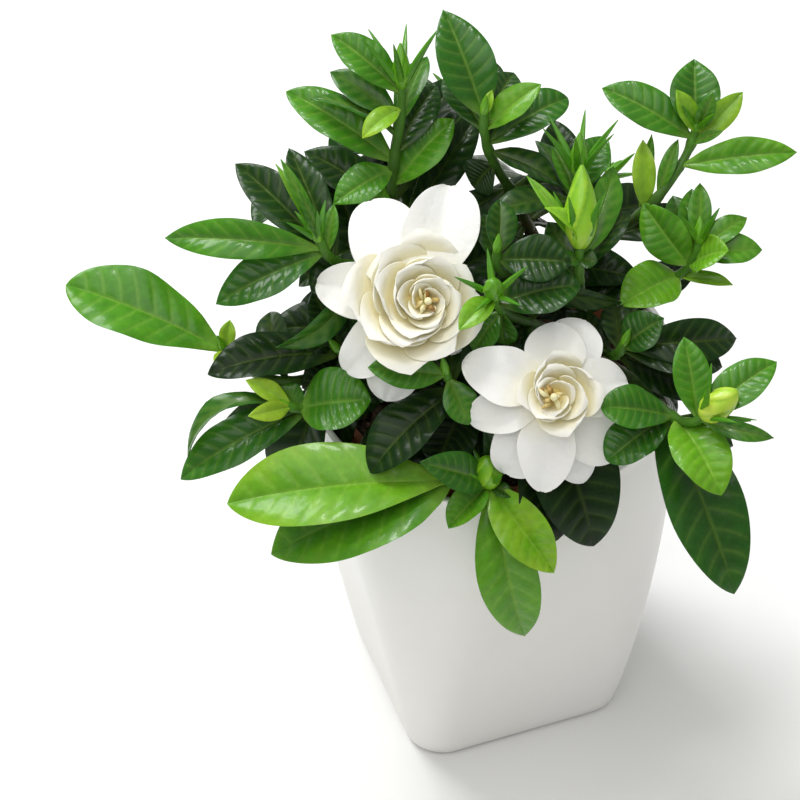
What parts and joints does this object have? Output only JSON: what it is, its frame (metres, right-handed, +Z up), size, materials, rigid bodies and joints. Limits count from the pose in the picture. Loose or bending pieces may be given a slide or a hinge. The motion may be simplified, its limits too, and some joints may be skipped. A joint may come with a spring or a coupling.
{
  "type": "potted gardenia",
  "caption": "Leafy flowering shrub with double white blooms and glossy leaves, in a nursery pot inside a white cover pot, round at the mouth and square at the foot.",
  "frame": {"origin": "middle of the cover pot's base, on the surface that it stands on", "axes": "+Z up, X and Y along the sides of the pot's square base, with the blooms towards -Y"},
  "size_m": [0.2558, 0.2274, 0.3147],
  "materials": {
    "white_pot": "satin, smooth",
    "terracotta_plastic": "matt",
    "potting_soil": "rough, crumbly peat",
    "bark": "rough",
    "leaf_green": "waxy and glossy, with sunken veins",
    "petal_white": "soft and matt"
  },
  "bodies": {
    "root": {"cover_pot": "white_pot", "nursery_pot": "terracotta_plastic", "soil": "potting_soil", "wood_front": "bark", "wood_left": "bark", "wood_back_left": "bark", "wood_back_right": "bark", "wood_right": "bark", "bloom_left": "petal_white", "bloom_right": "petal_white", "shoot_bloom_left": "leaf_green", "shoot_bloom_right": "leaf_green", "shoot_top_left": "leaf_green", "shoot_top_centre": "leaf_green", "shoot_top_middle": "leaf_green", "shoot_big_bud": "leaf_green", "shoot_top_right": "leaf_green", "shoot_right": "leaf_green", "shoot_right_bud": "leaf_green", "shoot_right_inner": "leaf_green", "shoot_left_upper": "leaf_green", "shoot_left_tip": "leaf_green", "shoot_left_lower": "leaf_green", "shoot_inner_left": "leaf_green", "shoot_inner_front": "leaf_green", "shoot_front_left": "leaf_green", "shoot_front": "leaf_green", "shoot_centre": "leaf_green", "shoot_centre_back": "leaf_green", "shoot_far_left": "leaf_green", "shoot_far_middle": "leaf_green", "shoot_far_right": "leaf_green"}
  },
  "joints": []
}
